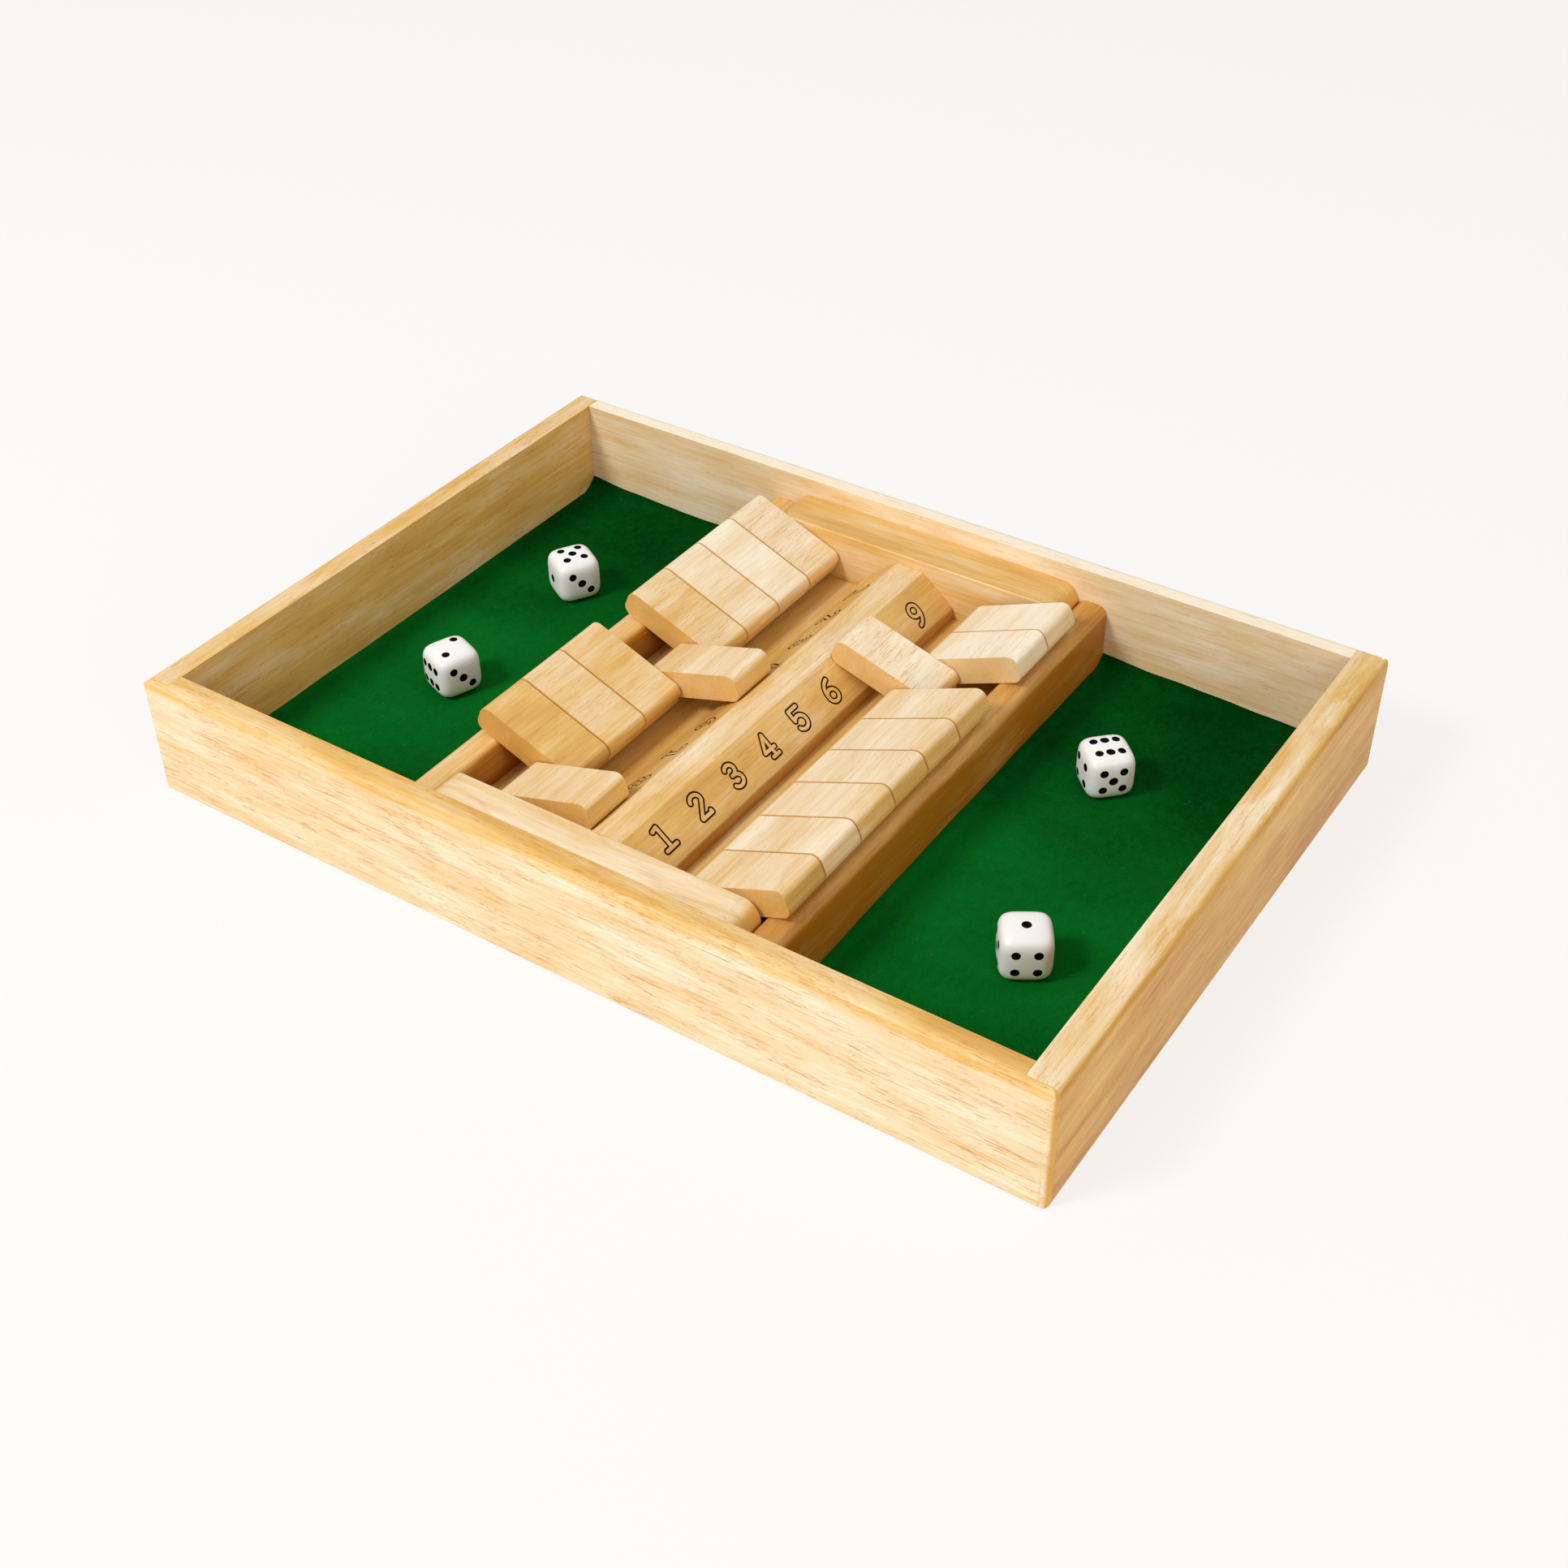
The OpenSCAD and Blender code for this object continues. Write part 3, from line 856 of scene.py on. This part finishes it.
def about(station, low, high):
    """Roughly where a station lies."""
    kind, share = station
    return {"flat": share, "low": low, "high": high}[kind]


def across(station, low, high, lip):
    """Place and rise of a station, where `lip` gives the height at a wall."""
    kind, share = station
    if kind == "flat":
        return share, 0.0
    height = lip(kind)
    reach = EDGE_GAP + share * (EDGE_RUN[0] + EDGE_RUN[1] * height)
    return (low + reach if kind == "low" else high - reach), height * (1 - share) ** 2


print("grid places across a turned-up edge:", len(EDGE_SHARES))

# %% [markdown]
# ### The finish of the felt
# Felt is short wool pressed into a mat, so it scatters light and has no gleam. Its pile
# is a fine noise, with a few lighter hairs and some lint on top.

# %% The felt recipe
def felt_green():
    r = Recipe("green_felt")
    coords = r.add("ShaderNodeTexCoord").outputs
    place = r.vector("MULTIPLY", coords["Object"], PER_METRE)
    pile = r.noise(r.vector("MULTIPLY", place, (3.4, 3.4, 3.4)), 4.0, 0.80, 0.8)
    nap = r.noise(r.vector("MULTIPLY", place, (0.35, 0.22, 0.35)), 3.0, 0.6)
    brushed = r.noise(r.vector("MULTIPLY", place, (0.02, 0.035, 0.02)), 2.0, 0.5)
    hairs = r.noise(r.vector("MULTIPLY", place, (1.1, 3.4, 3.4)), 2.0, 0.5, 2.2)
    lint = r.noise(r.vector("MULTIPLY", place, (0.55, 0.5, 0.5)), 1.0)
    lint = r.between(lint, 0.74, 0.80)
    tone = r.math("MULTIPLY_ADD", pile, 2.1, r.math("MULTIPLY_ADD", nap, 0.4, -0.6))
    tone = r.math("MULTIPLY_ADD", brushed, 0.7, r.math("SUBTRACT", tone, 0.82))
    # painted light: the felt is lighter across the near half of the bay, where more light
    # falls
    y = r.parts(place)["Y"]
    painted_light_near = r.math("MULTIPLY", r.between(y, -112, -45), r.between(y, 95, -20))
    tone = r.math("MULTIPLY_ADD", painted_light_near, 0.50, tone, clamp=True)
    colour = r.mix(tone, paint(0, 50, 8), paint(12, 122, 40))
    strand = r.between(hairs, 0.66, 0.76)
    colour = r.mix(r.math("MULTIPLY", strand, 0.3), colour, paint(34, 132, 58))
    lint = r.math("MULTIPLY", lint, r.between(hairs, 0.45, 0.62))
    colour = r.mix(r.math("MULTIPLY", lint, 0.22), colour, paint(120, 170, 120))
    # painted shade: where the felt turns up the wall it is darker
    painted_wall_shade = r.between(r.parts(coords["Normal"])["Z"], 0.99, 0.60)
    colour = r.mix(r.math("MULTIPLY", painted_wall_shade, 0.65), colour, paint(0, 40, 6))
    height = r.math("MULTIPLY_ADD", pile, 1.0, r.math("MULTIPLY", strand, 0.5))
    return r.finish(Base_Color=colour, Roughness=1.0, Normal=r.bump(height, 0.6, 0.0004),
                    Specular_IOR_Level=0.02)


green = felt_green()
print("finish made:", green.name)

# %% [markdown]
# ### Laying the felt
# The grid is made one line at a time. Each point takes the height of the edges that it
# lies in, and the flat part swells a little, as pressed cloth does.

# %% Lay the felt
SWELL = 0.05


def lay_felt(side):
    """The felt of one bay, as a sheet with a turned-up edge."""
    sign = -1 if side == "left" else 1
    low_x, high_x = sorted((sign * BAY_INNER, sign * BAY_OUTER))
    low_y, high_y = -BAY_DEEP, BAY_DEEP
    edges = FELT_EDGES[side]
    columns, rows = stations(low_x, high_x), stations(low_y, high_y)
    mesh = bmesh.new()
    grid = []
    for column in columns:
        rough_x = about(column, low_x, high_x)
        line = []
        for row in rows:
            rough_y = about(row, low_y, high_y)
            x, rise_x = across(column, low_x, high_x, lambda wall: edge_height(
                edges[wall + "_x"], rough_y, low_y, high_y, 1.7 if wall == "low" else 4.1))
            y, rise_y = across(row, low_y, high_y, lambda wall: edge_height(
                edges[wall + "_y"], rough_x, low_x, high_x, 2.9 if wall == "low" else 5.3))
            swell = SWELL * (wander(x + 31, 0.4) * wander(y, 1.9) - 1)
            z = FELT_TOP + swell + math.hypot(rise_x, rise_y)
            line.append(mesh.verts.new(Vector((x, y, z)) * MM))
        grid.append(line)
    for left, right in zip(grid[:-1], grid[1:]):
        for i in range(len(rows) - 1):
            mesh.faces.new((left[i], right[i], right[i + 1], left[i + 1]))
    piece = shaded(mesh, f"felt_{side}_laid", green)
    thick = piece.modifiers.new("thickness", "SOLIDIFY")
    thick.thickness = FELT_THICK * MM
    thick.offset = -1.0
    stand_for(piece, f"felt_{side}")


for side in ("left", "right"):
    lay_felt(side)

# %% [markdown]
# ## The dice
# The dice are polished white plastic with drilled spots that are painted black. Dice are
# tumbled until no flat is left, so each side is a soft pillow. A bevelled cube would keep
# its flats, so the body is a superellipsoid here: the surface on which the powers of the
# three coordinates add up to one. A high power gives a cube, and a power of two a ball.

# %% Make the body of a die
DIE_HALF = 8.4        # half the size of a die, in mm
DIE_POWER = 4.4
DIE_CUTS = 30         # of each side of the cube that becomes the body
SPOT_STEP = 3.45      # from the middle of a side to a spot, in mm
SPOT_BALL = 2.1       # radius of the round cutter that sinks a spot
SPOT_DEPTH = 0.7
# the count on each side, and the turn that takes the top to that side
DIE_SIDES = {1: (0, 90, 0), 2: (0, 90, 90), 3: (0, 0, 0),
             4: (180, 0, 0), 5: (90, 0, 0), 6: (0, -90, 0)}
# places of the spots on a side, in steps from its middle
SPOTS = {1: [(0, 0)], 2: [(-1, 1), (1, -1)]}
SPOTS[3] = SPOTS[1] + SPOTS[2]
SPOTS[4] = SPOTS[2] + [(-1, -1), (1, 1)]
SPOTS[5] = SPOTS[1] + SPOTS[4]
SPOTS[6] = [(x, y) for x in (-1.15, 0, 1.15) for y in (-0.95, 0.95)]


def turned(angles):
    """The turn about X, then Y, then Z, with the angles in degrees."""
    return Euler([math.radians(angle) for angle in angles]).to_matrix()


def pillow(place):
    """Moves a point of a cube along its radius onto the superellipsoid."""
    total = sum(abs(part) ** DIE_POWER for part in place)
    return place * (DIE_HALF * MM / total ** (1 / DIE_POWER))


def die_body():
    mesh = bmesh.new()
    for turn in DIE_SIDES.values():
        steps = np.linspace(-1, 1, DIE_CUTS + 1)
        spots = [[mesh.verts.new(pillow(turned(turn) @ Vector((x, y, 1)))) for x in steps]
                 for y in steps]
        for low, high in zip(spots[:-1], spots[1:]):
            for i in range(DIE_CUTS):
                mesh.faces.new((low[i], low[i + 1], high[i + 1], high[i]))
    bmesh.ops.remove_doubles(mesh, verts=mesh.verts, dist=JOIN)
    return mesh


def spot_cutters():
    """The cutting balls of all 21 spots, with the middle of each."""
    mesh, middles = bmesh.new(), []
    for count, turn in DIE_SIDES.items():
        for x, y in SPOTS[count]:
            middle = turned(turn) @ Vector((x * SPOT_STEP, y * SPOT_STEP,
                                            DIE_HALF - SPOT_DEPTH + SPOT_BALL)) * MM
            stand = Matrix.Translation(middle) @ turned(turn).to_4x4()
            bmesh.ops.create_uvsphere(mesh, u_segments=32, v_segments=28,
                                      radius=SPOT_BALL * MM, matrix=stand)
            middles.append(middle)
    return mesh, middles


def cut_away(body, cutters):
    """The body less the cutters, as a mesh. Blender's exact boolean does the cutting."""
    items = []
    for mesh in (body, cutters):
        data = bpy.data.meshes.new("work")
        mesh.to_mesh(data)
        mesh.free()
        items.append(bpy.data.objects.new("work", data))
        scene.collection.objects.link(items[-1])
    tool = items[0].modifiers.new("spots", "BOOLEAN")
    tool.operation, tool.solver, tool.object = "DIFFERENCE", "EXACT", items[1]
    result = bmesh.new()
    result.from_object(items[0], bpy.context.evaluated_depsgraph_get())
    for item in items:
        bpy.data.objects.remove(item)
    return result


cutters, spot_middles = spot_cutters()
die_shape = cut_away(die_body(), cutters)
for face in die_shape.faces:
    middle = face.calc_center_median()
    near = min((middle - spot).length for spot in spot_middles)
    face.material_index = int(near < SPOT_BALL * MM)
print("faces of a die:", len(die_shape.faces), "of them in spots:",
      sum(face.material_index for face in die_shape.faces))

# %% [markdown]
# ### Throwing the dice
# Each die lies where it was thrown: its place, the turn on the felt, and the side that
# came up. The black paint fills each spot up to its rim, so the rim stays a sharp edge.

# %% Dress the dice
BAY_MIDDLE = 114.35
DIE_HEIGHT = 16.9     # from the table to the middle of a die
DICE = (
    # bay, place in it (x and y), turn about the upright, and how it is tipped
    (-1, -2.8, 43.6, -30.6, (90, 180, 90)),
    (-1, -1.5, -27.5, -20.8, (90, 0, 90)),
    (1, -11.8, 46.5, -44.9, (0, 90, 90)),
    (1, 7.3, -44.1, -57.5, (0, 270, 0)),
)


def die_plastic():
    r = Recipe("white_plastic")
    coords = r.add("ShaderNodeTexCoord").outputs["Object"]
    haze = r.noise(r.vector("MULTIPLY", coords, (240, 240, 240)), 2.0, 0.5)
    rub = r.noise(r.vector("MULTIPLY", coords, (2600, 2600, 2600)), 3.0, 0.6)
    colour = r.mix(haze, paint(250, 250, 249), paint(254, 254, 253))
    rough = r.math("MULTIPLY_ADD", rub, 0.12, 0.26)
    return r.finish(Base_Color=colour, Roughness=rough, Normal=r.bump(rub, 0.06, 0.00005),
                    Subsurface_Weight=0.4, Subsurface_Radius=(1, 1, 1),
                    Subsurface_Scale=0.004)


def spot_paint():
    r = Recipe("black_spots")
    coords = r.add("ShaderNodeTexCoord").outputs["Object"]
    brushed = r.noise(r.vector("MULTIPLY", coords, (1800, 1800, 1800)), 2.0, 0.6)
    colour = r.mix(brushed, paint(1, 1, 2), paint(9, 9, 11))
    rough = r.math("MULTIPLY_ADD", brushed, 0.2, 0.34)
    return r.finish(Base_Color=colour, Roughness=rough,
                    Normal=r.bump(brushed, 0.15, 0.00006), Specular_IOR_Level=0.04)


plastic, spots = die_plastic(), spot_paint()
for number, (bay, across_bay, y, turn, tip) in enumerate(DICE, 1):
    node = f"die_{number}"
    mesh = die_shape.copy()
    lie = Matrix.Translation(Vector((bay * BAY_MIDDLE + across_bay, y, DIE_HEIGHT)) * MM)
    mesh.transform(lie @ (turned((0, 0, turn)) @ turned(tip)).to_4x4())
    stand_for(shaded(mesh, node + "_polished", plastic, spots), node)
    print(node, "lies at", [round(float(c), 1) for c in lie.translation / MM])

# %% [markdown]
# ## The studio
# A white sweep, a soft lamp from the upper left, a weak wide one from the right that
# opens the shaded sides, and a plain bright room.
# The floor is shown nearly white to the camera but keeps the shadow of the tray.

# %% Floor, room and lamps
ROOM_LIGHT = 0.52
ROOM_TINT = (1.0, 0.985, 0.95, 1.0)
FLOOR_SHOWN = 0.80    # how much of what the camera sees of the floor is its own white
FLOOR_REACH = 8       # metres each way
WHITE = (1, 1, 1, 1)
LAMP_AIM = Vector((0, 0, 0.02))


def seen_directly(r):
    """1 for rays from the camera, a mirror or glass, 0 for light that bounces."""
    path = r.add("ShaderNodeLightPath").outputs
    shown = r.math("MAXIMUM", path["Is Camera Ray"], path["Is Glossy Ray"])
    return r.math("MAXIMUM", shown, path["Is Transmission Ray"])


sweep = Recipe("studio_floor")
matte = sweep.add("ShaderNodeBsdfDiffuse", {"Color": paint(243, 241, 238)})
glow = sweep.add("ShaderNodeEmission", {"Color": paint(253, 252, 251), "Strength": 1.0})
share = sweep.math("MULTIPLY", seen_directly(sweep), FLOOR_SHOWN)
both = sweep.add("ShaderNodeMixShader", {0: share, 1: matte.outputs[0], 2: glow.outputs[0]})
sweep.add("ShaderNodeOutputMaterial", {"Surface": both.outputs[0]})

mesh = bmesh.new()
bmesh.ops.create_grid(mesh, x_segments=1, y_segments=1, size=FLOOR_REACH)
data = bpy.data.meshes.new("studio_floor")
mesh.to_mesh(data)
mesh.free()
floor = bpy.data.objects.new("studio_floor", data)
data.materials.append(sweep.owner)
scene.collection.objects.link(floor)

room = Recipe("studio_room", bpy.data.worlds)
scene.world = room.owner
direct = seen_directly(room)
tint = room.mix(direct, ROOM_TINT, WHITE)
level = room.math("MULTIPLY_ADD", direct, 1.0 - ROOM_LIGHT, ROOM_LIGHT)
back = room.add("ShaderNodeBackground", {"Color": tint, "Strength": level})
room.add("ShaderNodeOutputWorld", {"Surface": back.outputs[0]})


def lamp(name, place, size, power):
    light = bpy.data.lights.new(name, "AREA")
    light.shape = "DISK"
    light.size = size
    light.energy = power
    item = bpy.data.objects.new(name, light)
    item.location = place
    item.rotation_euler = (LAMP_AIM - item.location).to_track_quat("-Z", "Y").to_euler()
    scene.collection.objects.link(item)


lamp("key_lamp", (-0.56, -1.04, 1.30), 0.46, 16.5)
lamp("fill_lamp", (1.50, -0.60, 0.70), 1.00, 8.0)
print("lamps placed")
